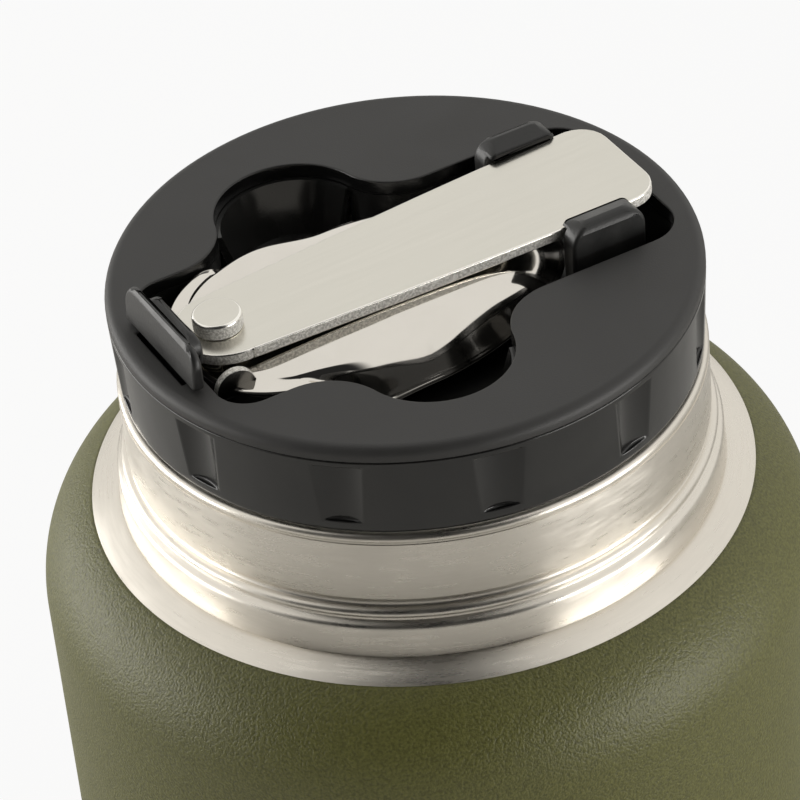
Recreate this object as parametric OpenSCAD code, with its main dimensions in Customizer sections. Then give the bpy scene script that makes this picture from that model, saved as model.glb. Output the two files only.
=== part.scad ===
// Insulated food jar: vacuum vessel with a screw-in stopper that holds a folding spoon.
// Millimetres, +Z up, origin at the centre of the foot. X runs along the stowed spoon.

/* [Jar] */
// Height of the stopper deck above the table
deck_h = 165; // [150:1:185]
// Outer radius of the coated body
body_r = 56.5; // [55.5:0.25:58]
// Thickness of the steel sheet
sheet = 0.6; // [0.5:0.05:0.7]
// Thickness of the powder coat
coat = 0.3; // [0.2:0.05:0.4]

/* [Stopper] */
// Height of the grip ring
skirt_h = 12.4; // [12.4:0.1:13]
// Number of grip recesses round the ring
recess_n = 12; // [8:1:14]
// Depth of each grip recess
recess_d = 1.0; // [0.5:0.1:1.1]
// Half width of the spoon slot
slot_w = 16.2; // [16.2:0.1:16.6]
// Radius of each finger notch at the deck
notch_r = 11.1; // [10.9:0.1:11.4]

/* [Spoon] */
// Thickness of the folding handle
handle_t = 1.8; // [1.4:0.1:1.8]
// Half width of the handle at its wide end
handle_w = 10; // [9.4:0.1:10]
// Half width of the bowl over its rim
bowl_w = 18.3; // [17:0.1:18.3]
// Depth of the bowl
bowl_d = 7.4; // [6:0.1:7.6]
// Radius of the rivet head
rivet_r = 3.5; // [3.1:0.1:3.6]

/* [Hidden] */
lid_r = 42;
part_h = 2.3;
rim_z = deck_h - part_h - skirt_h - 0.3;
low_z = deck_h - part_h - skirt_h;
arc_r = 17;
arc_c = body_r - arc_r;
arc_z = deck_h - 51.05;
foot_r = 6.3;
foot_c = body_r - foot_r;
coat_a = acos((48 - arc_c) / arc_r);
plug_r = 38.9;
floor_z = deck_h - 10.2;
notch_x = -6.8;
notch_y = 20.2;
flare_r = 9.4;
rivet_x = -29;
spoon_z = deck_h - 0.25;
spoon_tilt = 1.4;
clip_x0 = 19.5;
clip_x1 = 31.4;
clip_y = 12.05;
clip_root = floor_z + 1.5;
latch_x = -36.4;
latch_root = floor_z + 0.75;
steel = [0.74, 0.72, 0.69];
olive = [0.42, 0.43, 0.29];
black = [0.16, 0.16, 0.16];
gloss = [0.08, 0.08, 0.08];
$fn = 96;

function arc(cx, cy, r, a0, a1, n) =
  [for (i = [0:n]) [cx + r * cos(a0 + (a1 - a0) * i / n), cy + r * sin(a0 + (a1 - a0) * i / n)]];

function rev(p) = [for (i = [len(p) - 1:-1:0]) p[i]];

// Outside of the steel under the coat, from the foot up to the edge of the coat
function under_coat() = concat(
  arc(foot_c, foot_r + 0.7, foot_r - coat, -80, 0, 6),
  arc(arc_c, arc_z, arc_r - coat, 0, coat_a, 12));

// Outside of the bare steel, from the edge of the coat up to the weld below the rim
function bare_neck(t) = concat(
  arc(arc_c, arc_z, arc_r - t, coat_a, acos((44.1 - arc_c) / arc_r), 4),
  [[43.8 - t, deck_h - 34.4],
   [43.65 - t, deck_h - 30.2],
   [43.3 - t, deck_h - 29.5],
   [42.5 - t, deck_h - 29.1],
   [42.5 - t, deck_h - 28.8]],
  arc(42.2 - t, deck_h - 28.1, 0.7, -70, 70, 4),
  [[41.6 - t, deck_h - 27.2],
   [41.6 - t, deck_h - 26.5],
   [42 - t, deck_h - 26.1],
   [42 - t, rim_z - 1.4]]);

// Outer wall: one drawn tube with a rolled shoulder and a beaded neck
module outer_shell() {
  color(steel)
  rotate_extrude()
  polygon(concat(
    under_coat(),
    bare_neck(0),
    rev(bare_neck(sheet)),
    rev(concat(
      arc(foot_c, foot_r + 0.7, foot_r - coat - sheet, -80, 0, 6),
      arc(arc_c, arc_z, arc_r - coat - sheet, 0, coat_a, 12)))));
}

// Fine-grained coat that stops part of the way up the shoulder
module powder_coat() {
  color(olive)
  rotate_extrude()
  polygon(concat(
    arc(foot_c, foot_r + 0.7, foot_r, -80, 0, 6),
    arc(arc_c, arc_z, arc_r, 0, coat_a, 12),
    rev(under_coat())));
}

// Inner wall of the vacuum vessel, with the rolled mouth rim
module inner_vessel() {
  wide = body_r - 7;
  color(steel)
  rotate_extrude()
  polygon(concat(
    [[0, 9.4]],
    arc(wide - 12 + sheet, 22, 12.6, -90, 0, 8),
    arc(wide - 8 + sheet, deck_h - 54, 8, 0, 50, 5),
    arc(48 - sheet / 2, deck_h - 34.6, 8, 225, 180, 4),
    [[40, rim_z - 1.4], [42, rim_z - 1.4]],
    arc(41.3, rim_z - 0.7, 0.7, 0, 90, 4),
    arc(40.1, rim_z - 0.7, 0.7, 90, 180, 4),
    arc(48 - sheet / 2, deck_h - 34.6, 8 + sheet, 180, 225, 4),
    arc(wide - 8 + sheet, deck_h - 54, 8 - sheet, 50, 0, 5),
    arc(wide - 12 + sheet, 22, 12.6 - sheet, 0, -90, 8),
    [[0, 9.4 + sheet]]));
}

// Pressed disc welded into the bottom of the outer wall
module outer_base() {
  tip_o = arc(foot_c, foot_r + 0.7, foot_r - coat, -80, -80, 1)[0];
  tip_i = arc(foot_c, foot_r + 0.7, foot_r - coat - sheet, -80, -80, 1)[0];
  color(steel)
  rotate_extrude()
  polygon([[0.8, 3.6], [42.4, 3.6], [45, tip_i[1]], tip_i, tip_o, [44.7, tip_o[1]],
    [42.2, 3], [0.8, 3]]);
}

// Foot disc pressed into the recess of the base
module base_cover() {
  color(black)
  rotate_extrude()
  polygon([[0, 0.8], [33, 0.8], [34, 0], [40.6, 0], [41.4, 0.8], [41.4, 3], [3.4, 3],
    [3.4, 1.9], [0, 1.9]]);
}

// Bead of solder that closes the pumping hole
module vacuum_seal() {
  color([0.6, 0.6, 0.6]) {
    translate([0, 0, 2.2]) cylinder(h = 0.8, r1 = 1.8, r2 = 2.8);
    translate([0, 0, 2.99]) cylinder(h = 0.61, r = 0.8);
  }
}

// Getter cup spot-welded under the inner wall, inside the vacuum
module getter() {
  color([0.5, 0.5, 0.5])
  translate([14, 0, 6.9])
  difference() {
    cylinder(h = 2.5, r = 4);
    translate([0, 0, -1]) cylinder(h = 2.4, r = 3.4);
  }
}

// Plan of the opening: spoon slot, two finger notches and the flares between them
module flare(side, top) {
  fx = notch_x + side * sqrt(pow(notch_r + flare_r, 2) - pow(slot_w + flare_r - notch_y, 2));
  fy = slot_w + flare_r;
  difference() {
    polygon([[notch_x, slot_w - 1], [notch_x, notch_y], [fx, fy], [fx, slot_w - 1]]);
    translate([fx, fy]) circle(r = flare_r - top);
  }
}

module slot_plan(top) {
  w = slot_w + top;
  translate([-30.7, -w]) square([61.9, 2 * w]);
  translate([-35.5 - top, -slot_w + 4.8]) square([10, 2 * slot_w - 9.6]);
  translate([26, -slot_w + 5.5]) square([10.7 + top, 2 * slot_w - 11]);
  for (m = [0, 1]) mirror([0, m]) {
    translate([-30.7, slot_w - 4.8]) circle(r = 4.8 + top);
    translate([31.2, slot_w - 5.5]) circle(r = 5.5 + top);
    flare(1, top);
    flare(-1, top);
  }
}

module latch_plan() {
  translate([-38.4, -7]) square([8.4, 14]);
}

module notches(extra) {
  for (m = [0, 1]) mirror([0, m, 0])
    translate([notch_x, notch_y, floor_z - extra])
    cylinder(h = deck_h - floor_z + 2 * extra, r1 = notch_r - 3 + extra * 0.7, r2 = notch_r + extra * 1.3);
}

// Matt top plate of the stopper
module lid_deck() {
  color(black)
  difference() {
    rotate_extrude()
    polygon(concat([[0, deck_h - part_h], [lid_r, deck_h - part_h]],
      arc(lid_r - 1.5, deck_h - 1.5, 1.5, 0, 90, 8), [[0, deck_h]]));
    translate([0, 0, deck_h - 5]) linear_extrude(height = 10) {
      slot_plan(0);
      latch_plan();
    }
    for (m = [0, 1]) mirror([0, m, 0])
      translate([notch_x, notch_y, deck_h - 5])
      cylinder(h = 10, r = notch_r + 0.02);
  }
}

// Glossy ring that is gripped to turn the stopper
module grip_ring() {
  color(gloss)
  difference() {
    rotate_extrude()
    polygon([[lid_r, deck_h - part_h], [lid_r - 0.55, low_z + 0.7], [lid_r - 0.75, low_z],
      [40.9, low_z], [40.9, low_z + 1.1], [38.9, low_z + 1.1], [38.9, low_z], [36.9, low_z],
      [36.9, low_z + 2.2], [40, low_z + 2.2], [40, deck_h - part_h]]);
    for (i = [0:recess_n - 1])
      rotate(17.5 + i * 360 / recess_n)
      translate([lid_r - 0.2 - recess_d + 7, 0, low_z + 1.8])
      cylinder(h = skirt_h - 2.8, r = 7);
  }
}

// Glossy tray below the deck that the spoon lies in, back up
module spoon_tray() {
  color(gloss)
  difference() {
    union() {
      translate([0, 0, floor_z - 1.2]) linear_extrude(height = deck_h - part_h - floor_z + 1.2) {
        slot_plan(1);
        intersection() {
          translate([-39.4, -8]) square([12, 16]);
          circle(r = 40);
        }
      }
      intersection() {
        notches(1.2);
        translate([0, 0, floor_z - 1.2]) cylinder(h = deck_h - part_h - floor_z + 1.2, r = 60);
      }
    }
    translate([0, 0, floor_z]) linear_extrude(height = 20) {
      slot_plan(0);
      latch_plan();
    }
    notches(0.01);
  }
}

// Threaded cup that screws into the neck
module stopper_plug() {
  color(black)
  rotate_extrude()
  polygon([[0, deck_h - 36], [plug_r - 1.5, deck_h - 36], [plug_r, deck_h - 34.5],
    [plug_r, low_z], [36.9, low_z], [36.9, deck_h - 34.2], [0, deck_h - 34.2]]);
}

// Insulating foam disc inside the plug
module foam_core() {
  color([0.93, 0.92, 0.86])
  translate([0, 0, deck_h - 34]) cylinder(h = 22, r = 36.4);
}

// Silicone ring between the grip ring and the mouth rim
module gasket() {
  color([0.85, 0.85, 0.83])
  rotate_extrude()
  polygon([[39.2, rim_z], [40.6, rim_z], [40.6, low_z + 0.7], [40.3, low_z + 1.05],
    [39.5, low_z + 1.05], [39.2, low_z + 0.7]]);
}

// Sprung latch that hooks over the riveted end of the handle, with its thumb leaf
module rear_latch() {
  color(black) {
    translate([latch_x, 6.7, latch_root]) rotate([90, 0, 0]) cylinder(h = 13.4, r = 0.7);
    intersection() {
      translate([0, 6.7, 0]) rotate([90, 0, 0]) linear_extrude(height = 13.4)
      polygon([[latch_x - 0.7, latch_root], [latch_x + 0.7, latch_root],
        [latch_x + 0.7, deck_h + 1.6], [-34.5, deck_h + 1.6], [-34.5, deck_h + 4.9],
        [-34.8, deck_h + 5.8], [-35.5, deck_h + 6.4], [-36.1, deck_h + 6.3],
        [latch_x - 0.7, deck_h + 5.2]]);
      union() {
        translate([-45, -10, latch_root - 5]) cube([20, 20, deck_h - latch_root + 8.6]);
        translate([-45, -3.9, deck_h]) cube([20, 7.8, 10]);
        for (m = [0, 1]) mirror([0, m, 0])
          translate([-45, 3.9, deck_h + 3.6]) rotate([0, 90, 0]) cylinder(h = 20, r = 2.8);
      }
    }
    intersection() {
      translate([0, 12, 0]) rotate([90, 0, 0]) linear_extrude(height = 24)
      polygon([[latch_x - 0.1, deck_h + 0.5], [latch_x - 0.1, deck_h + 6.1],
        [latch_x - 0.4, deck_h + 6.6], [latch_x - 0.9, deck_h + 6.7],
        [latch_x - 1.3, deck_h + 6.3], [latch_x - 1.7, deck_h + 3.5],
        [latch_x - 1.9, deck_h + 0.5]]);
      union() {
        translate([-45, -10.3, deck_h]) cube([20, 20.6, 3.7]);
        translate([-45, -7.3, deck_h]) cube([20, 14.6, 10]);
        for (m = [0, 1]) mirror([0, m, 0])
          translate([-45, 7.3, deck_h + 3.7]) rotate([0, 90, 0]) cylinder(h = 20, r = 3);
      }
    }
  }
}

// Sprung side clip that hooks over one edge of the handle
module side_clip() {
  long = clip_x1 - clip_x0;
  color(black)
  intersection() {
    translate([clip_x0, 0, 0]) rotate([90, 0, 90]) union() {
      translate([clip_y, clip_root, 0]) cylinder(h = long, r = 1.45);
      linear_extrude(height = long)
      polygon([[clip_y - 1.45, clip_root], [clip_y - 1.45, deck_h + 3.25],
        [9.5, deck_h + 3.25], [9.5, deck_h + 3.5], [9.9, deck_h + 3.9],
        [12.2, deck_h + 4.7], [12.9, deck_h + 4.7], [13.5, deck_h + 4.3],
        [13.8, deck_h + 3.6], [clip_y + 1.45, clip_root]]);
    }
    union() {
      translate([clip_x0, 0, deck_h - 30]) cube([long, 40, 31.3]);
      translate([clip_x0 + 3.4, 0, deck_h]) cube([long - 6.8, 40, 10]);
      for (x = [clip_x0 + 3.4, clip_x1 - 3.4])
        translate([x, 0, deck_h + 1.3]) rotate([-90, 0, 0]) cylinder(h = 40, r = 3.4);
    }
  }
}

module far_clip() {
  side_clip();
}

module near_clip() {
  mirror([0, 1, 0]) side_clip();
}

// Places the children on the stowed spoon: origin at the rivet, under the handle
module on_spoon() {
  translate([rivet_x, 0, spoon_z]) rotate([0, -spoon_tilt, 0]) children();
}

// Bowl of the spoon, stowed back up: a blunt oval, nearly flat where the handle lies on it
// and steep towards the rim, which rises to the flat neck under the rivet
bowl_x = 23.5;
rings = 9;
sides = 60;
function ramp(t) = let (c = max(0, min(1, t))) c * c * (3 - 2 * c);
function oval(a) = cos(a) > 0
  ? [30.3 * pow(cos(a), 1.1), bowl_w * sign(sin(a)) * pow(abs(sin(a)), 1.1)]
  : [-28.6 * pow(-cos(a), 0.7), bowl_w * sign(sin(a)) * pow(abs(sin(a)), 0.7)];
function crown(x) = -0.7 + (x < 0 ? 0.039 * x : 0.6 * sin(90 * min(1, x / 24)));
function rim_drop(x) = 0.6 + (bowl_d - 0.6) * ramp((x + 4.5) / 20.5);
function fullness(a) = cos(a) > 0 ? 3.6 + 3.9 * abs(sin(a)) : 7.5;
function back(q, a) = let (e = oval(a), x = bowl_x + q * e[0])
  [x, q * e[1], crown(x) - rim_drop(x) * pow(q, fullness(a))];
function out_of(q, a) = let (
  u = back(q + 0.005, a) - back(q - 0.005, a),
  v = back(q, a + 1) - back(q, a - 1),
  n = cross(u, v)) n / norm(n);
function out_to(k) = 1 - pow(1 - k / rings, 1.7);
function side_of(j) = 360 * (j + 0.5) / sides;
function outer_ring(k) = [for (j = [0:sides - 1]) back(out_to(k), side_of(j))];
function inner_ring(k) = [for (j = [0:sides - 1])
  back(out_to(k), side_of(j)) - 1.1 * out_of(out_to(k), side_of(j))];

module bowl() {
  n = rings * sides;
  rim = n - sides;
  polyhedron(
    points = concat(
      [for (k = [1:rings]) each outer_ring(k)],
      [for (k = [1:rings]) each inner_ring(k)],
      [[bowl_x, 0, crown(bowl_x)], [bowl_x, 0, crown(bowl_x) - 1.1]]),
    faces = concat(
      [for (k = [0:rings - 2], j = [0:sides - 1])
        let (i = (j + 1) % sides, a = k * sides, b = a + sides)
          each [[a + j, b + i, b + j], [a + j, a + i, b + i],
            [n + a + j, n + b + j, n + b + i], [n + a + j, n + b + i, n + a + i]]],
      [for (j = [0:sides - 1]) let (i = (j + 1) % sides)
        each [[2 * n, i, j], [2 * n + 1, n + j, n + i],
          [rim + j, rim + i, n + rim + i], [rim + j, n + rim + i, n + rim + j]]]));
}

// Lug that stands beside the folded handle and stops it from turning the wrong way
module stop_lug() {
  intersection() {
    translate([-2.8, -8.75, -1.6]) rotate([90, 0, 0]) cylinder(h = 1.1, r = 3);
    translate([-10, -20, -1.8]) cube([20, 20, 5]);
  }
}

module spoon_bowl() {
  color(steel)
  on_spoon()
  difference() {
    union() {
      bowl();
      stop_lug();
      translate([0, 0, -1.6]) cylinder(h = 1.15, r = 4.4);
    }
    translate([0, 0, -5]) cylinder(h = 8, r = 1.9);
    translate([0, 0, -5.75]) cylinder(h = 4, r = 3.1);
  }
}

// Flat folding handle with a rounded, riveted end
function handle_y(x) = handle_w - 2.65 * pow(max(0, 54.2 - x) / 53.1, 1.3);

module spoon_handle() {
  side = [for (i = [0:19]) let (x = 1.6 + i * 3) [x, handle_y(x)]];
  end = arc(61.2, handle_w - 4.6, 4.6, 85, 0, 6);
  color(steel)
  on_spoon()
  difference() {
    union() {
      translate([1.1, 0, 0]) cylinder(h = handle_t, r = handle_y(1.1));
      linear_extrude(height = handle_t)
      polygon(concat(side, end, rev([for (p = end) [p[0], -p[1]]]),
        rev([for (p = side) [p[0], -p[1]]])));
    }
    translate([0, 0, -1]) cylinder(h = 5, r = 1.95);
  }
}

// Rivet with a tall round head that the handle turns on
module rivet() {
  color(steel)
  on_spoon()
  rotate_extrude()
  polygon(concat([[0, -2.8], [2.7, -2.8], [3, -2.5], [3, -1.8], [1.9, -1.8],
    [1.9, handle_t + 0.05], [rivet_r, handle_t + 0.05]],
    arc(rivet_r - 0.5, handle_t + 1.85, 0.5, 0, 90, 4),
    [[0, handle_t + 2.4]]));
}

// Thin washer between the neck and the handle
module rivet_washer() {
  color([0.6, 0.58, 0.55])
  on_spoon()
  translate([0, 0, -0.45])
  difference() {
    cylinder(h = 0.4, r = 4.2);
    translate([0, 0, -1]) cylinder(h = 3, r = 1.9);
  }
}

outer_shell();
powder_coat();
inner_vessel();
outer_base();
base_cover();
vacuum_seal();
getter();
lid_deck();
grip_ring();
spoon_tray();
stopper_plug();
foam_core();
gasket();
rear_latch();
near_clip();
far_clip();
spoon_bowl();
spoon_handle();
rivet();
rivet_washer();
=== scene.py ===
import math

import bmesh
import bpy
from mathutils import Matrix, Vector
from mathutils.bvhtree import BVHTree


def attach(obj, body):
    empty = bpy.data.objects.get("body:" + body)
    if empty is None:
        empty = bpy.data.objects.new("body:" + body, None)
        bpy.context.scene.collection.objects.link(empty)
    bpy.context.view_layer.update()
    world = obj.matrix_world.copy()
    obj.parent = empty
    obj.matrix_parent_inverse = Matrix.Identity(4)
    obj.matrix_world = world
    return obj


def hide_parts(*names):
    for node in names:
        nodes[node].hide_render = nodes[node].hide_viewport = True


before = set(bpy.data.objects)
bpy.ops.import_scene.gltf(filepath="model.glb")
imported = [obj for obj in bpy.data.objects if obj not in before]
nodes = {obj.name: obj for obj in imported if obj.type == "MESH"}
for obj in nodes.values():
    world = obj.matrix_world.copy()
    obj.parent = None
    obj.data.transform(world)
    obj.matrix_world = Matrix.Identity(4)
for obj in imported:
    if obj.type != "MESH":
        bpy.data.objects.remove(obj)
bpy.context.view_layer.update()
scene = bpy.context.scene
scene.view_settings.view_transform = "Standard"


# Camera: a long lens close over the stopper, turned a little round its own axis, which
# crops the lower half of the jar.
camera = bpy.data.objects.new("camera", bpy.data.cameras.new("camera"))
scene.collection.objects.link(camera)
camera.location = (-0.21143, -0.42333, 0.50907)
camera.rotation_euler = [math.radians(a) for a in (51.962, 4.4226, -29.7061)]
camera.data.lens = 189
camera.data.sensor_width = 36
camera.data.clip_start = 0.05
scene.camera = camera


# Table and room: a wide pale table and a backdrop that the camera sees as white. The room
# that the steel reflects is pale behind the jar and at both sides, and dark on the side
# that the camera stands on.
def chain(tree, kind, links, **settings):
    """Adds a node; each input, by number or name, gets a value or another node's output."""
    node = tree.nodes.new(kind)
    for key, value in settings.items():
        setattr(node, key, value)
    for key, source in links.items():
        if isinstance(source, (int, float, tuple)):
            node.inputs[key].default_value = source
        else:
            tree.links.new(source, node.inputs[key])
    return node


table_half, table_z = 3.0, -0.0004
table_corners = [(x * table_half, y * table_half, table_z)
                 for x, y in ((-1, -1), (1, -1), (1, 1), (-1, 1))]
table_mesh = bpy.data.meshes.new("table")
table_mesh.from_pydata(table_corners, [], [(0, 1, 2, 3)])
table = bpy.data.objects.new("table", table_mesh)
scene.collection.objects.link(table)
white_paper = bpy.data.materials.new("white_paper")
white_paper.use_nodes = True
table_mesh.materials.append(white_paper)
tree = white_paper.node_tree
paper = tree.nodes["Principled BSDF"]
paper.inputs["Base Color"].default_value = (0.62, 0.61, 0.59, 1)
paper.inputs["Roughness"].default_value = 0.7
glow_share = 0.9
glow = chain(tree, "ShaderNodeEmission", {})
paths = chain(tree, "ShaderNodeLightPath", {})
part_white = chain(tree, "ShaderNodeMath", {0: paths.outputs["Is Camera Ray"], 1: glow_share},
                   operation="MULTIPLY")
mixed = chain(tree, "ShaderNodeMixShader",
              {0: part_white.outputs[0], 1: paper.outputs[0], 2: glow.outputs[0]})
tree.links.new(mixed.outputs[0], tree.nodes["Material Output"].inputs[0])

pale_wall, dark_wall = (0.92, 0.905, 0.87, 1), (0.022, 0.022, 0.022, 1)
dark_way = math.radians(235)
dark_x, dark_y = math.cos(dark_way), math.sin(dark_way)
overhead_pull = 0.1
world = bpy.data.worlds.new("room")
scene.world = world
world.use_nodes = True
tree = world.node_tree
backdrop = tree.nodes["Background"]
backdrop.inputs[0].default_value = (1, 1, 1, 1)
ways = chain(tree, "ShaderNodeTexCoord", {})
flat_way = chain(tree, "ShaderNodeVectorMath", {0: ways.outputs["Generated"], 1: (1, 1, 0)},
                 operation="MULTIPLY")
pulled = chain(tree, "ShaderNodeVectorMath",
               {0: flat_way.outputs[0], 1: (overhead_pull * dark_x, overhead_pull * dark_y, 0)},
               operation="ADD")
unit = chain(tree, "ShaderNodeVectorMath", {0: pulled.outputs[0]}, operation="NORMALIZE")
toward_dark = chain(tree, "ShaderNodeVectorMath", {0: unit.outputs[0], 1: (dark_x, dark_y, 0)},
                    operation="DOT_PRODUCT")
shade = chain(tree, "ShaderNodeMapRange",
              {"Value": toward_dark.outputs["Value"], "From Min": 0.56, "From Max": 0.80},
              interpolation_type="SMOOTHSTEP")
tint = chain(tree, "ShaderNodeMix", {0: shade.outputs[0], 6: pale_wall, 7: dark_wall},
             data_type="RGBA")
room = chain(tree, "ShaderNodeBackground", {0: tint.outputs[2]})
paths = chain(tree, "ShaderNodeLightPath", {})
either = chain(tree, "ShaderNodeMixShader",
               {0: paths.outputs["Is Camera Ray"], 1: room.outputs[0], 2: backdrop.outputs[0]})
tree.links.new(either.outputs[0], tree.nodes["World Output"].inputs[0])

lamp_aim = Vector((0, 0, 0.14))


def softbox(name, azimuth, height, distance, wide, high, level):
    """A large lamp that faces the stopper; level is the brightness of its own surface."""
    lamp = bpy.data.lights.new(name, "AREA")
    lamp.shape = "RECTANGLE"
    lamp.size, lamp.size_y = wide, high
    lamp.energy = 4 * wide * high * level
    lamp.color = (1, 0.985, 0.96)
    held = bpy.data.objects.new(name, lamp)
    scene.collection.objects.link(held)
    a = math.radians(azimuth)
    held.location = (distance * math.cos(a), distance * math.sin(a), height)
    held.rotation_euler = (lamp_aim - held.location).to_track_quat("-Z", "Y").to_euler()
    held.visible_camera = False


softbox("left_softbox", azimuth=141, height=0.20, distance=0.75, wide=0.85, high=0.34, level=3.5)
softbox("right_softbox", azimuth=303, height=0.13, distance=0.8, wide=0.55, high=0.22, level=6.6)


# Outer wall: one deep-drawn stainless tube, rolled in at the shoulder, turned and brushed
# at the neck, with a bead below the stopper and a weld to the inner wall at the mouth.
mm = 0.001
deck_z = 165.0


def arc(cx, cz, r, a0, a1, n):
    return [(cx + r * math.cos(math.radians(a0 + (a1 - a0) * i / n)),
             cz + r * math.sin(math.radians(a0 + (a1 - a0) * i / n))) for i in range(n + 1)]


def shown(name, mesh, crease=35):
    piece = bpy.data.objects.new(name, mesh)
    scene.collection.objects.link(piece)
    mesh.polygons.foreach_set("use_smooth", [True] * len(mesh.polygons))
    mesh.set_sharp_from_angle(angle=math.radians(crease))
    return piece


def turned(name, profile, around=256):
    """A closed profile of (radius, height) in millimetres, turned about the jar's axis."""
    mesh = bpy.data.meshes.new(name)
    work = bmesh.new()
    rings = []
    for r, z in profile:
        if r < 1e-6:
            rings.append([work.verts.new((0, 0, z * mm))])
        else:
            rings.append([work.verts.new((r * mm * math.cos(2 * math.pi * i / around),
                                          r * mm * math.sin(2 * math.pi * i / around),
                                          z * mm)) for i in range(around)])
    for a, b in zip(rings, rings[1:] + rings[:1]):
        for i in range(around):
            j = (i + 1) % around
            if len(a) == 1 and len(b) == 1:
                break
            if len(a) == 1:
                work.faces.new((a[0], b[j], b[i]))
            elif len(b) == 1:
                work.faces.new((a[i], a[j], b[0]))
            else:
                work.faces.new((a[i], a[j], b[j], b[i]))
    bmesh.ops.recalc_face_normals(work, faces=work.faces)
    work.to_mesh(mesh)
    work.free()
    return shown(name, mesh)


def new_group(name, inputs, outputs):
    group = bpy.data.node_groups.new(name, "ShaderNodeTree")
    for label, value in inputs.items():
        socket = group.interface.new_socket(label, in_out="INPUT", socket_type="NodeSocketFloat")
        socket.default_value = value
    for label in outputs:
        group.interface.new_socket(label, in_out="OUTPUT", socket_type="NodeSocketFloat")
    return group, group.nodes.new("NodeGroupInput"), group.nodes.new("NodeGroupOutput")


def worked(tree, operation, *values):
    """The result of one step of arithmetic on masks or numbers."""
    return chain(tree, "ShaderNodeMath", dict(enumerate(values)), operation=operation).outputs[0]


# lines brushed round the jar's axis
turned_lines, inp, out = new_group("turned_lines", {"Along": 9, "Across": 4000}, ["Streak", "Height"])
place = chain(turned_lines, "ShaderNodeTexCoord", {})
parts = chain(turned_lines, "ShaderNodeSeparateXYZ", {0: place.outputs["Object"]})
flat = chain(turned_lines, "ShaderNodeCombineXYZ", {0: parts.outputs[0], 1: parts.outputs[1]})
reach = chain(turned_lines, "ShaderNodeVectorMath", {0: flat.outputs[0]}, operation="LENGTH")
heading = chain(turned_lines, "ShaderNodeVectorMath", {0: flat.outputs[0]}, operation="NORMALIZE")
around_it = chain(turned_lines, "ShaderNodeVectorMath",
                  {0: heading.outputs[0], "Scale": inp.outputs["Along"]}, operation="SCALE")
level_z = worked(turned_lines, "SUBTRACT", parts.outputs[2], reach.outputs["Value"])
fine_z = worked(turned_lines, "MULTIPLY", level_z, inp.outputs["Across"])
lift = chain(turned_lines, "ShaderNodeCombineXYZ", {2: fine_z})
spot = chain(turned_lines, "ShaderNodeVectorMath", {0: around_it.outputs[0], 1: lift.outputs[0]},
             operation="ADD")
lines = chain(turned_lines, "ShaderNodeTexNoise",
              {"Vector": spot.outputs[0], "Scale": 1.0, "Detail": 4.0, "Roughness": 0.7})
slow = chain(turned_lines, "ShaderNodeVectorMath", {0: spot.outputs[0], 1: (1, 1, 0.16)},
             operation="MULTIPLY")
broad = chain(turned_lines, "ShaderNodeTexNoise",
              {"Vector": slow.outputs[0], "Scale": 1.0, "Detail": 3.0, "Roughness": 0.6})
turned_lines.links.new(lines.outputs[0], out.inputs["Height"])
turned_lines.links.new(broad.outputs[0], out.inputs["Streak"])

# slow patches of handling: faint smears and dulling
handling, inp, out = new_group("handling", {"Size": 0.02}, ["Smear"])
place = chain(handling, "ShaderNodeTexCoord", {})
patch = chain(handling, "ShaderNodeTexNoise",
              {"Vector": place.outputs["Object"],
               "Scale": worked(handling, "DIVIDE", 1.0, inp.outputs["Size"]),
               "Detail": 5.0, "Roughness": 0.62, "Distortion": 0.6})
handling.links.new(patch.outputs[0], out.inputs["Smear"])


def use_group(tree, group, **values):
    node = tree.nodes.new("ShaderNodeGroup")
    node.node_tree = group
    for key, value in values.items():
        node.inputs[key].default_value = value
    return node


def smears(tree, size):
    return use_group(tree, handling, Size=size).outputs["Smear"]


def finish(name, color, roughness, metallic=0.0, **plain):
    """A new material; plain holds further sockets that are the same all over the surface."""
    material = bpy.data.materials.new(name)
    material.use_nodes = True
    tree = material.node_tree
    skin = tree.nodes["Principled BSDF"]
    skin.inputs["Base Color"].default_value = (*color, 1)
    skin.inputs["Roughness"].default_value = roughness
    skin.inputs["Metallic"].default_value = metallic
    for key, value in plain.items():
        skin.inputs[key.replace("_", " ")].default_value = value
    return material, tree, skin


def ranged(tree, source, low, high, start=0.3, end=0.7):
    """A mask that goes from low, where source is at start, to high, where it is at end."""
    return chain(tree, "ShaderNodeMapRange",
                 {"Value": source, "From Min": start, "From Max": end, "To Min": low,
                  "To Max": high}).outputs[0]


def two_tones(tree, mask, first, second):
    """Goes from the first to the second colour with the mask; each is a tuple or an output."""
    node = tree.nodes.new("ShaderNodeMix")
    node.data_type = "RGBA"
    for socket, tone in ((node.inputs[6], first), (node.inputs[7], second)):
        if isinstance(tone, tuple):
            socket.default_value = (*tone, 1)
        else:
            tree.links.new(tone, socket)
    tree.links.new(mask, node.inputs[0])
    return node.outputs[2]


def relief(tree, skin, height, distance, strength=1.0, below=None):
    """Fine height on a finish, in metres, on top of the relief below it."""
    node = chain(tree, "ShaderNodeBump", {"Strength": strength, "Distance": distance, "Height": height})
    if below is not None:
        tree.links.new(below.outputs[0], node.inputs["Normal"])
    tree.links.new(node.outputs[0], skin.inputs["Normal"])
    return node


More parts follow.
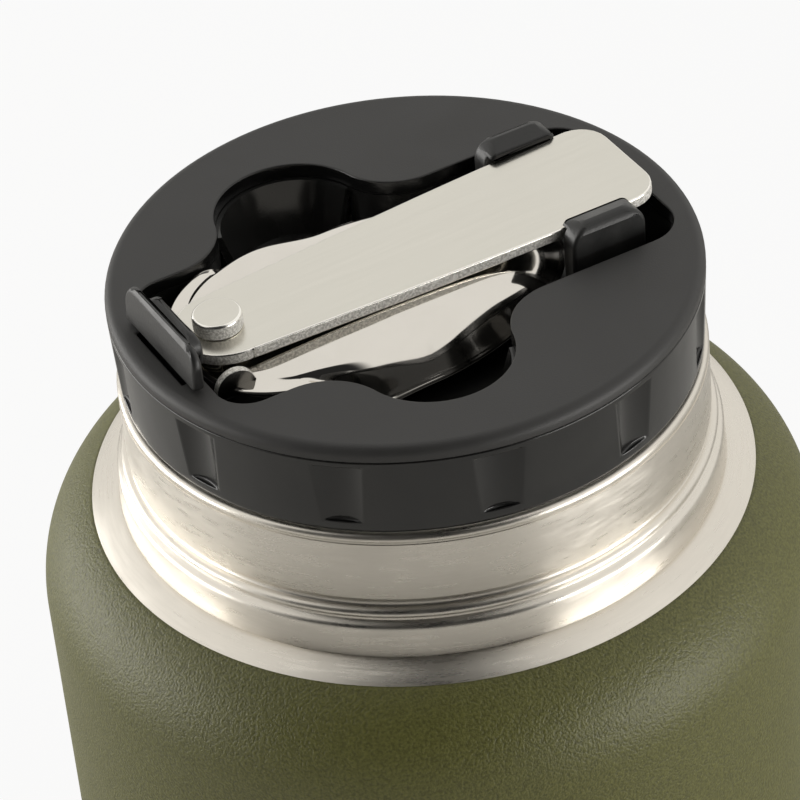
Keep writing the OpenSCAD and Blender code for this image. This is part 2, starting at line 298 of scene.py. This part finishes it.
brushed_steel, tree, skin = finish("brushed_steel", (0.66, 0.62, 0.56), 0.3, 1.0, Anisotropic=0.75,
                                   Anisotropic_Rotation=0.25)
brushing = use_group(tree, turned_lines, Along=7.0, Across=9000.0)
tree.links.new(two_tones(tree, brushing.outputs["Streak"], (0.69, 0.65, 0.585), (0.81, 0.77, 0.70)),
               skin.inputs["Base Color"])
rough = worked(tree, "ADD", ranged(tree, brushing.outputs["Streak"], 0.24, 0.36),
               ranged(tree, smears(tree, 0.03), -0.03, 0.05))
tree.links.new(rough, skin.inputs["Roughness"])
relief(tree, skin, brushing.outputs["Height"], 0.00001, 0.6)
grain_way = chain(tree, "ShaderNodeTangent", {}, direction_type="RADIAL", axis="Z")
tree.links.new(grain_way.outputs[0], skin.inputs["Tangent"])

sheet_t = 0.6
coat_t = 0.3
body_r = 56.5
foot_r, foot_z, foot_from = 6.3, 7.0, -80
foot_c = body_r - foot_r
arc_r = 17.0
arc_c = body_r - arc_r
arc_z = deck_z - 51.05
coat_edge_r, flare_r = 48.0, 44.1
coat_top = math.degrees(math.acos((coat_edge_r - arc_c) / arc_r))
neck_top = math.degrees(math.acos((flare_r - arc_c) / arc_r))
bead_r, bead_z, bead_round, bead_half = 42.2, deck_z - 28.1, 0.7, 62
neck_r = 42.0
rim_z = deck_z - 15.0
seam_z = rim_z - 1.4
below_bead = ((43.86, 34.7), (43.8, 34.2), (43.68, 31), (43.65, 30.3), (43.6, 29.95),
              (43.45, 29.65), (43.2, 29.48), (42.75, 29.25), (42.56, 29.1), (42.5, 28.9))
above_bead = ((42.25, 27.36), (41.8, 27.3), (41.66, 27.15), (41.6, 26.9), (41.62, 26.55),
              (41.75, 26.3), (41.93, 26.12), (neck_r, 25.8))


def body_line(depth, end):
    """Outside of the body from the foot to an angle on the shoulder, depth under the coat."""
    return (arc(foot_c, foot_z, foot_r - depth, foot_from, 0, 16) +
            arc(arc_c, arc_z, arc_r - depth, 0, end, 40))


def neck_line(t):
    """Outside of the bare neck, from the edge of the coat to the weld, t inside the steel."""
    return (arc(arc_c, arc_z, arc_r - t, coat_top, neck_top, 10) +
            [(r - t, deck_z - down) for r, down in below_bead] +
            arc(bead_r - t, bead_z, bead_round, -bead_half, bead_half, 10) +
            [(r - t, deck_z - down) for r, down in above_bead] + [(neck_r - t, seam_z)])


wall_out = body_line(coat_t, coat_top) + neck_line(0)
wall_in = body_line(coat_t + sheet_t, coat_top) + neck_line(sheet_t)
shell = turned("drawn_shell", wall_out + wall_in[::-1])
shell.data.materials.append(brushed_steel)
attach(shell, "jar")
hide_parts("outer_shell")


# Powder coat: olive polyester powder baked on the body, fine-grained to the touch, masked
# off along a line part of the way up the shoulder.
def speckle(tree, scale, detail, **more):
    """Noise that is fixed to the piece, its scale in cells to the metre."""
    place = chain(tree, "ShaderNodeTexCoord", {})
    return chain(tree, "ShaderNodeTexNoise",
                 {"Vector": place.outputs["Object"], "Scale": scale, "Detail": detail,
                  **more}).outputs[0]


olive_coat, tree, skin = finish("olive_coat", (0.115, 0.115, 0.042), 0.5)
grain = speckle(tree, 2600.0, 2.0, Roughness=0.5)
orange_peel = speckle(tree, 700.0, 2.0)
tree.links.new(two_tones(tree, ranged(tree, grain, 0, 1, 0.32, 0.68),
                         (0.066, 0.066, 0.013), (0.126, 0.125, 0.030)), skin.inputs["Base Color"])
tree.links.new(ranged(tree, smears(tree, 0.05), 0.40, 0.50), skin.inputs["Roughness"])
peel = relief(tree, skin, orange_peel, 0.00012, 0.5)
relief(tree, skin, grain, 0.00016, 0.9, below=peel)

edge_sunk, edge_from, edge_full = 0.06, coat_top - 0.6, coat_top - 0.3
coat_out = body_line(0, edge_from) + arc(arc_c, arc_z, arc_r - edge_sunk, edge_full, coat_top, 2)
coat = turned("olive_skin", coat_out + body_line(coat_t, coat_top)[::-1])
coat.data.materials.append(olive_coat)
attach(coat, "jar")
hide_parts("powder_coat")


# Inner wall: a second drawn tube welded to the outer one at the mouth, with the air
# pumped out between them, and a shallow thread rolled inside its neck.
wide = body_r - 7
base_round, shoulder_round, neck_round = 12.0, 8.0, 8.0
base_z, shoulder_z, throat_z = 22.0, deck_z - 54, deck_z - 34.6
throat_r = 40.0
rim_round, rim_in, rim_out = 0.7, throat_r + 0.1, throat_r + 1.3
liner_foot = base_z - base_round - sheet_t


def liner_line(t):
    """Vacuum side of the inner wall from its floor to its throat, t inside the sheet."""
    return (arc(wide - base_round + sheet_t, base_z, base_round + sheet_t - t, -90, 0, 16) +
            arc(wide - shoulder_round + sheet_t, shoulder_z, shoulder_round - t, 0, 50, 12) +
            arc(throat_r + neck_round - sheet_t / 2, throat_z, neck_round + t, 225, 180, 12))


liner_out = (liner_line(0) + [(throat_r, seam_z), (neck_r - 0.1, seam_z)] +
             arc(rim_out, rim_z - rim_round, rim_round, -30, 90, 10))
liner_in = liner_line(sheet_t) + arc(rim_in, rim_z - rim_round, rim_round, 180, 90, 10)
liner = turned("drawn_liner",
               [(0, liner_foot)] + liner_out + liner_in[::-1] + [(0, liner_foot + sheet_t)])
liner.data.materials.append(brushed_steel)
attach(liner, "jar")
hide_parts("inner_vessel")

pitch, foot_half, crest_half = 7.2, 1.3, 0.7
fade_turn = 1 / 8
# along the axis, and out of the wall as a share of the depth
thread_section = ((-foot_half, -0.05), (-crest_half, 0.75), (-crest_half * 0.55, 1.0),
                  (crest_half * 0.55, 1.0), (crest_half, 0.75), (foot_half, -0.05))


def helix(name, radius, depth, start_z, turns, outward, steps=96):
    """A round-cornered thread that fades in and out, wound right-handed about the axis."""
    mesh = bpy.data.meshes.new(name)
    work = bmesh.new()
    count = int(steps * turns)
    last = None
    for i in range(count + 1):
        t = i / count
        fade = math.sin(min(1.0, t * turns / fade_turn, (1 - t) * turns / fade_turn) * math.pi / 2)
        a = 2 * math.pi * turns * t
        z = start_z + pitch * turns * t
        ring = []
        for across, out in thread_section:
            r = radius + outward * depth * (out * fade if out > 0 else out)
            ring.append(work.verts.new((r * mm * math.cos(a), r * mm * math.sin(a),
                                        (z + across) * mm)))
        if last:
            for k in range(len(ring)):
                j = (k + 1) % len(ring)
                work.faces.new((last[k], last[j], ring[j], ring[k]))
        else:
            work.faces.new(ring)
        last = ring
    work.faces.new(last[::-1])
    bmesh.ops.recalc_face_normals(work, faces=work.faces)
    work.to_mesh(mesh)
    work.free()
    return shown(name, mesh, 50)


jar_thread = helix("neck_thread", radius=39.55, depth=0.4, start_z=deck_z - 31.5, turns=1.2,
                   outward=-1)
jar_thread.data.materials.append(brushed_steel)
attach(jar_thread, "jar")


# Underside: the pressed disc welded into the foot, the moulded cover that hides the
# pumping hole, and inside the vacuum the solder bead and the getter cup.
def paint(node_name, material):
    """Gives a CAD node that is shown as it is a finish of its own."""
    mesh = nodes[node_name].data
    mesh.materials.clear()
    mesh.materials.append(material)


foot_rubber, tree, skin = finish("foot_rubber", (0.03, 0.03, 0.03), 0.75)
pores = speckle(tree, 1800.0, 4.0)
tree.links.new(two_tones(tree, ranged(tree, smears(tree, 0.012), 0, 1),
                         (0.022, 0.022, 0.022), (0.045, 0.044, 0.042)), skin.inputs["Base Color"])
tree.links.new(ranged(tree, pores, 0.62, 0.82), skin.inputs["Roughness"])
relief(tree, skin, pores, 0.00012, 0.7)

dull_metal, tree, skin = finish("dull_metal", (0.42, 0.41, 0.40), 0.5, 1.0)
pits = speckle(tree, 2200.0, 5.0)
tree.links.new(two_tones(tree, pits, (0.34, 0.33, 0.32), (0.52, 0.51, 0.49)),
               skin.inputs["Base Color"])
tree.links.new(ranged(tree, pits, 0.38, 0.62), skin.inputs["Roughness"])
relief(tree, skin, pits, 0.00008, 0.7)

paint("outer_base", brushed_steel)
paint("base_cover", foot_rubber)
paint("vacuum_seal", dull_metal)
paint("getter", dull_metal)


# Screw plug of the stopper: a polypropylene cup with a coarse thread outside, filled with
# closed-cell foam and sealed to the rim by a silicone ring.
hard_edge, eased_crease = math.radians(30), 40
flat_enough = math.radians(0.5)


def eased(node_name, new_name, width, segments=3):
    """The CAD node again with its hard edges eased by width, in millimetres."""
    mesh = nodes[node_name].data.copy()
    mesh.name = new_name
    work = bmesh.new()
    work.from_mesh(mesh)
    surface = BVHTree.FromBMesh(work)
    bmesh.ops.remove_doubles(work, verts=work.verts, dist=1e-6)
    bmesh.ops.dissolve_limit(work, angle_limit=flat_enough, verts=work.verts, edges=work.edges)
    edges = [e for e in work.edges if len(e.link_faces) == 2 and e.calc_face_angle(0) > hard_edge]
    bmesh.ops.bevel(work, geom=edges, offset=width * mm, offset_type="OFFSET", segments=segments,
                    profile=0.5, affect="EDGES", clamp_overlap=False)
    bmesh.ops.dissolve_degenerate(work, dist=1e-7, edges=work.edges)
    # a corner that the bevel throws off the piece goes back to its surface
    for v in work.verts:
        spot, _, _, gap = surface.find_nearest(v.co)
        if gap > 0.5 * width * mm:
            v.co = spot
    for e in work.edges:
        e.smooth = True
    work.to_mesh(mesh)
    work.free()
    if "custom_normal" in mesh.attributes:
        mesh.attributes.remove(mesh.attributes["custom_normal"])
    piece = shown(new_name, mesh, eased_crease)
    even = piece.modifiers.new("even_normals", "WEIGHTED_NORMAL")
    even.keep_sharp = True
    even.weight = 80
    mesh.materials.clear()
    return piece


def squarely(tree, axis):
    """How squarely a face looks along an axis, up or down it, from 0 to 1."""
    facing = chain(tree, "ShaderNodeNewGeometry", {})
    parts = chain(tree, "ShaderNodeSeparateXYZ", {0: facing.outputs["Normal"]})
    return worked(tree, "ABSOLUTE", parts.outputs[axis])


# the upright walls inside the slot are smooth, and their colour is a painted shade, darker than the textured
# faces;
# they lie nearer to the axis than the plug's own wall
plug_r = 38.9
slot_inner, slot_outer = (plug_r - 0.1) * mm, (plug_r + 0.3) * mm
painted_wall_shade, wall_smoother = (0.006, 0.006, 0.006), -0.36
matt_black, tree, skin = finish("matt_black", (0.030, 0.029, 0.028), 0.5)
smear = smears(tree, 0.016)
textured_tone = two_tones(tree, ranged(tree, smear, 0, 1),
                          (0.023, 0.0225, 0.022), (0.030, 0.029, 0.028))
place = chain(tree, "ShaderNodeTexCoord", {})
level_place = chain(tree, "ShaderNodeVectorMath", {0: place.outputs["Object"], 1: (1, 1, 0)},
                    operation="MULTIPLY")
from_axis = chain(tree, "ShaderNodeVectorMath", {0: level_place.outputs[0]}, operation="LENGTH")
inside = ranged(tree, from_axis.outputs["Value"], 1, 0, slot_inner, slot_outer)
upright = ranged(tree, squarely(tree, 2), 1, 0, 0.35, 0.75)
shaded_smooth_slot_wall = worked(tree, "MULTIPLY", upright, inside)
textured = ranged(tree, smear, 0.46, 0.56)
# painted shade: the upright slot walls get a near-black colour, the recess shade painted in
tree.links.new(two_tones(tree, shaded_smooth_slot_wall, textured_tone, painted_wall_shade), skin.inputs["Base Color"])
tree.links.new(worked(tree, "MULTIPLY_ADD", shaded_smooth_slot_wall, wall_smoother, textured),
               skin.inputs["Roughness"])
relief(tree, skin, speckle(tree, 4200.0, 3.0), 0.00006, 0.5)

plug = eased("stopper_plug", "screw_plug", 0.5)
plug.data.materials.append(matt_black)
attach(plug, "stopper")
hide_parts("stopper_plug")
plug_thread = helix("plug_thread", radius=plug_r, depth=0.24, start_z=deck_z - 34.0, turns=1.5,
                    outward=1)
plug_thread.data.materials.append(matt_black)
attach(plug_thread, "stopper")

foam, tree, skin = finish("foam", (0.84, 0.82, 0.74), 0.9)
place = chain(tree, "ShaderNodeTexCoord", {})
cells = chain(tree, "ShaderNodeTexVoronoi", {"Vector": place.outputs["Object"], "Scale": 1400.0})
tree.links.new(two_tones(tree, cells.outputs["Distance"], (0.74, 0.71, 0.62), (0.88, 0.86, 0.78)),
               skin.inputs["Base Color"])
relief(tree, skin, cells.outputs["Distance"], 0.0002, 0.6)
paint("foam_core", foam)

silicone, tree, skin = finish("silicone", (0.66, 0.66, 0.64), 0.42)
bloom = speckle(tree, 500.0, 3.0)
tree.links.new(two_tones(tree, bloom, (0.60, 0.60, 0.58), (0.72, 0.72, 0.70)),
               skin.inputs["Base Color"])
relief(tree, skin, bloom, 0.00005, 0.5)
paint("gasket", silicone)


# Grip ring: glossy polypropylene ring round the stopper, with shallow round-bottomed
# recesses for the fingers, snapped under the deck.
gloss_black, tree, skin = finish("gloss_black", (0.012, 0.012, 0.012), 0.16)
smear = smears(tree, 0.012)
tree.links.new(two_tones(tree, ranged(tree, smear, 0, 1), (0.010, 0.010, 0.010),
                         (0.017, 0.017, 0.016)), skin.inputs["Base Color"])
tree.links.new(ranged(tree, smear, 0.10, 0.24), skin.inputs["Roughness"])
relief(tree, skin, speckle(tree, 260.0, 2.0), 0.00005, 0.25)

ring = eased("grip_ring", "finger_ring", 0.25)
ring.data.materials.append(gloss_black)
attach(ring, "stopper")
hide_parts("grip_ring")


# Deck: matt, fine-textured top plate of the stopper, with the opening for the spoon and
# the two finger notches cut through it.
deck = eased("lid_deck", "deck_plate", 0.3)
deck.data.materials.append(matt_black)
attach(deck, "stopper")
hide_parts("lid_deck")


# Tray: polished polypropylene pocket welded under the deck, with one floor level and
# conical finger wells at both sides.
paint("spoon_tray", gloss_black)


# Latch and clips: three acetal springs that snap into the tray and hook over the handle;
# the rear one has a thumb leaf.
clip_black, tree, skin = finish("clip_black", (0.028, 0.028, 0.028), 0.36)
smear = smears(tree, 0.006)
tree.links.new(two_tones(tree, ranged(tree, smear, 0, 1), (0.012, 0.012, 0.012),
                         (0.022, 0.022, 0.021)), skin.inputs["Base Color"])
tree.links.new(ranged(tree, smear, 0.30, 0.46), skin.inputs["Roughness"])
relief(tree, skin, speckle(tree, 2400.0, 3.0), 0.00006, 0.4)
for node_name, new_name, body in (("rear_latch", "thumb_latch", "latch"),
                                  ("near_clip", "near_spring", "near_hook"),
                                  ("far_clip", "far_spring", "far_hook")):
    spring = eased(node_name, new_name, 0.55, segments=4)
    spring.data.materials.append(clip_black)
    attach(spring, body)
    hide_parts(node_name)


# Spoon bowl: stamped from 1.1 mm stainless sheet and mirror polished. It lies back up, nearly
# flat under the handle, with a lug at its near side that the handle is stopped by.
rivet_x = -29.0
spoon_z = deck_z - 0.25
tilt = math.radians(1.4)
on_spoon = (Matrix.Translation(Vector((rivet_x * mm, 0, spoon_z * mm))) @
            Matrix.Rotation(-tilt, 4, "Y"))
bowl_t = 1.1
bowl_x, bowl_w, bowl_d = 23.5, 18.3, 7.4
front_reach, rear_reach = 30.3, 28.6
front_power, rear_power = 1.1, 0.7
crown_z, crown_rise, crown_run, neck_slope = -0.7, 0.6, 24, 0.039
neck_d, deep_from, deep_run = 0.55, 4.5, 12
rear_lip, front_lip = 2.6, 0.55
# powers of the fall to the rim: a high one keeps the back flat and its edge steep
neck_fall, front_fall, side_fall, rear_fall = 45, 3.6, 8.0, 8.0
round_from, round_run, side_from = 7, 16.5, 0.8
corner = 6


def eased_in(x, start, run):
    """0 up to start, 1 from start + run on, and an S-curve between them."""
    t = max(0.0, min(1.0, (x - start) / run))
    return t * t * (3 - 2 * t)


def back(q, a):
    """A point of the bowl's back, q of the way from its middle out to the rim at angle a."""
    c, s = math.cos(a), math.sin(a)
    reach, power = (front_reach, front_power) if c > 0 else (rear_reach, rear_power)
    dx = reach * math.copysign(abs(c) ** power, c)
    y = bowl_w * math.copysign(abs(s) ** power, s)
    x = bowl_x + q * dx
    if x < 0:
        crown = crown_z + neck_slope * x
    else:
        crown = crown_z + crown_rise * math.sin(math.pi / 2 * min(1, x / crown_run))
    deep = eased_in(x, deep_from, deep_run)
    drop = neck_d + (bowl_d - neck_d) * deep
    lip = rear_lip + (front_lip - rear_lip) * deep
    end_fall = rear_fall
    if c > 0:
        end_fall = front_fall + (side_fall - front_fall) * eased_in(abs(s), 0, side_from)
    power_here = neck_fall * (end_fall / neck_fall) ** eased_in(x, round_from, round_run)
    lip_starts = 1 - lip / math.hypot(dx, y)
    fall = (q / lip_starts) ** power_here
    return Vector((x, q * y, crown - drop * fall / (1 + fall ** corner) ** (1 / corner)))


def make_bowl():
    mesh = bpy.data.meshes.new("polished_bowl")
    work = bmesh.new()
    sides, count, edge_steps = 288, 56, 8
    last_step, crowding, tiny = 0.975, 1.5, 0.002
    angles = [2 * math.pi * (j + 0.5) / sides for j in range(sides)]

    def frame_at(q, a):
        outward = (back(q + tiny, a) - back(q - tiny, a)).normalized()
        across = back(q, a + tiny) - back(q, a - tiny)
        return outward, outward.cross(across).normalized()

    steps = [last_step * (1 - (1 - k / count) ** crowding) for k in range(1, count + 1)]
    loops = [[back(q, a) for a in angles] for q in steps]
    for k in range(edge_steps + 1):
        turn = math.pi * k / edge_steps
        loop = []
        for a in angles:
            outward, up = frame_at(1, a)
            middle = back(1, a) - (outward + up) * bowl_t / 2
            loop.append(middle + (outward * math.sin(turn) + up * math.cos(turn)) * bowl_t / 2)
        loops.append(loop)
    loops += [[back(q, a) - frame_at(q, a)[1] * bowl_t for a in angles] for q in steps[::-1]]
    rings = [[work.verts.new(point * mm) for point in loop] for loop in loops]
    top = work.verts.new(back(0, 0) * mm)
    low = work.verts.new((back(0, 0) - Vector((0, 0, bowl_t))) * mm)
    for a, b in zip(rings, rings[1:]):
        for i in range(sides):
            j = (i + 1) % sides
            work.faces.new((a[i], b[i], b[j], a[j]))
    for i in range(sides):
        j = (i + 1) % sides
        work.faces.new((top, rings[0][i], rings[0][j]))
        work.faces.new((low, rings[-1][j], rings[-1][i]))
    bmesh.ops.recalc_face_normals(work, faces=work.faces)
    work.to_mesh(mesh)
    work.free()
    mesh.transform(on_spoon)
    return shown("polished_bowl", mesh, 60)


lug_r, lug_x, lug_z = 3.0, -2.8, -1.6
lug_near, lug_far = -9.85, -8.75
# in from the tab's flat face, and in from its round edge
lug_roll = ((0, 0.16), (0.05, 0.05), (0.15, 0.0))


def make_lug():
    """A half-round tab with rolled edges that stands on the bowl beside the handle."""
    mesh = bpy.data.meshes.new("stop_lug")
    work = bmesh.new()
    rings = []
    places = ([(lug_far - along, inset) for along, inset in lug_roll] +
              [(lug_near + along, inset) for along, inset in lug_roll[::-1]])
    for y, inset in places:
        curve = [(lug_x + (lug_r - inset) * math.cos(math.radians(a)),
                  lug_z + (lug_r - inset) * math.sin(math.radians(a))) for a in range(-24, 205, 4)]
        rings.append([work.verts.new((x * mm, y * mm, z * mm)) for x, z in curve])
    for a, b in zip(rings, rings[1:]):
        for i in range(len(a)):
            j = (i + 1) % len(a)
            work.faces.new((a[i], a[j], b[j], b[i]))
    work.faces.new(rings[0][::-1])
    work.faces.new(rings[-1])
    bmesh.ops.recalc_face_normals(work, faces=work.faces)
    work.to_mesh(mesh)
    work.free()
    mesh.transform(on_spoon)
    return shown("stop_lug", mesh, 50)


polished_steel, tree, skin = finish("polished_steel", (0.74, 0.71, 0.66), 0.05, 1.0)
smear = smears(tree, 0.008)
tree.links.new(ranged(tree, smear, 0.03, 0.12), skin.inputs["Roughness"])
tree.links.new(two_tones(tree, smear, (0.70, 0.67, 0.62), (0.78, 0.75, 0.70)),
               skin.inputs["Base Color"])
relief(tree, skin, speckle(tree, 90.0, 2.0, Distortion=0.4), 0.0001, 0.12)
bowl = make_bowl()
bowl.data.materials.append(polished_steel)
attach(bowl, "spoon")
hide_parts("spoon_bowl")

# the lug's round edge is torn by the shears; its flat faces are glossier, and their dark colour is a painted
# reflection of the black tray
cut_steel, tree, skin = finish("cut_steel", (0.72, 0.70, 0.65), 0.5, 1.0)
flat_face_painted_dark = ranged(tree, squarely(tree, 1), 0, 1, 0.7, 0.9)
torn_tone = two_tones(tree, ranged(tree, speckle(tree, 3600.0, 3.0), 0, 1, 0.4, 0.6),
                      (0.50, 0.48, 0.44), (0.88, 0.86, 0.81))
# painted reflection: the flat faces get a dark steel tone for the black tray they mirror
tree.links.new(two_tones(tree, flat_face_painted_dark, torn_tone, (0.16, 0.155, 0.145)),
               skin.inputs["Base Color"])
tree.links.new(ranged(tree, flat_face_painted_dark, 0.5, 0.25, 0, 1), skin.inputs["Roughness"])
tree.links.new(ranged(tree, flat_face_painted_dark, 0.4, 1.0, 0, 1), skin.inputs["Metallic"])
lug = make_lug()
lug.data.materials.append(cut_steel)
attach(lug, "spoon")


# Handle, rivet and washer: the handle is blanked from 1.8 mm stainless strip and satin
# finished along its length; a tall round-headed rivet holds it to the bowl's neck.
straight_lines, inp, out = new_group("straight_lines", {"Along": 60, "Across": 5000}, ["Streak", "Height"])
place = chain(straight_lines, "ShaderNodeTexCoord", {})
parts = chain(straight_lines, "ShaderNodeSeparateXYZ", {0: place.outputs["Object"]})
run = [worked(straight_lines, "MULTIPLY", parts.outputs[i], inp.outputs[label])
       for i, label in enumerate(("Along", "Across", "Across"))]
spot = chain(straight_lines, "ShaderNodeCombineXYZ", dict(enumerate(run)))
lines = chain(straight_lines, "ShaderNodeTexNoise",
              {"Vector": spot.outputs[0], "Scale": 1.0, "Detail": 4.0, "Roughness": 0.65})
slow = chain(straight_lines, "ShaderNodeVectorMath", {0: spot.outputs[0], "Scale": 0.2}, operation="SCALE")
broad = chain(straight_lines, "ShaderNodeTexNoise", {"Vector": slow.outputs[0], "Scale": 1.0, "Detail": 2.0})
straight_lines.links.new(lines.outputs[0], out.inputs["Height"])
straight_lines.links.new(broad.outputs[0], out.inputs["Streak"])

# combed on top, torn where it was sheared, and a painted highlight on the edge eased between the two
satin_steel, tree, skin = finish("satin_steel", (0.70, 0.68, 0.62), 0.22, 1.0)
brushing = use_group(tree, straight_lines, Along=300.0, Across=5200.0)
level = squarely(tree, 2)
sheared = ranged(tree, level, 1, 0, 0.12, 0.30)
painted_edge_highlight = worked(tree, "MULTIPLY", ranged(tree, level, 0, 1, 0.30, 0.42),
                    ranged(tree, level, 1, 0, 0.93, 0.985))
torn = speckle(tree, 3200.0, 3.0)
combed_tone = two_tones(tree, brushing.outputs["Streak"], (0.68, 0.66, 0.60), (0.72, 0.70, 0.64))
torn_tone = two_tones(tree, ranged(tree, torn, 0, 1, 0.4, 0.6), (0.52, 0.50, 0.46), (0.92, 0.90, 0.85))
flat_tone = two_tones(tree, sheared, combed_tone, torn_tone)
# painted highlight: the eased edge between top and side gets a near-white colour
tree.links.new(two_tones(tree, painted_edge_highlight, flat_tone, (0.97, 0.95, 0.90)), skin.inputs["Base Color"])
smooth = ranged(tree, smears(tree, 0.014), 0.18, 0.27)
tree.links.new(worked(tree, "MULTIPLY_ADD", sheared, 0.32, smooth), skin.inputs["Roughness"])
tree.links.new(ranged(tree, sheared, 1.0, 0.2, 0, 1), skin.inputs["Metallic"])
combed = relief(tree, skin, brushing.outputs["Height"], 0.000006, 0.4)
relief(tree, skin, worked(tree, "MULTIPLY", torn, sheared), 0.0001, 0.8, below=combed)

handle = eased("spoon_handle", "folding_handle", 0.3)
handle.data.materials.append(satin_steel)
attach(handle, "handle")
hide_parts("spoon_handle")
for node_name, new_name in (("rivet", "round_rivet"), ("rivet_washer", "thin_washer")):
    fitting = eased(node_name, new_name, 0.15)
    fitting.data.materials.append(satin_steel)
    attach(fitting, "spoon")
    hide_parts(node_name)
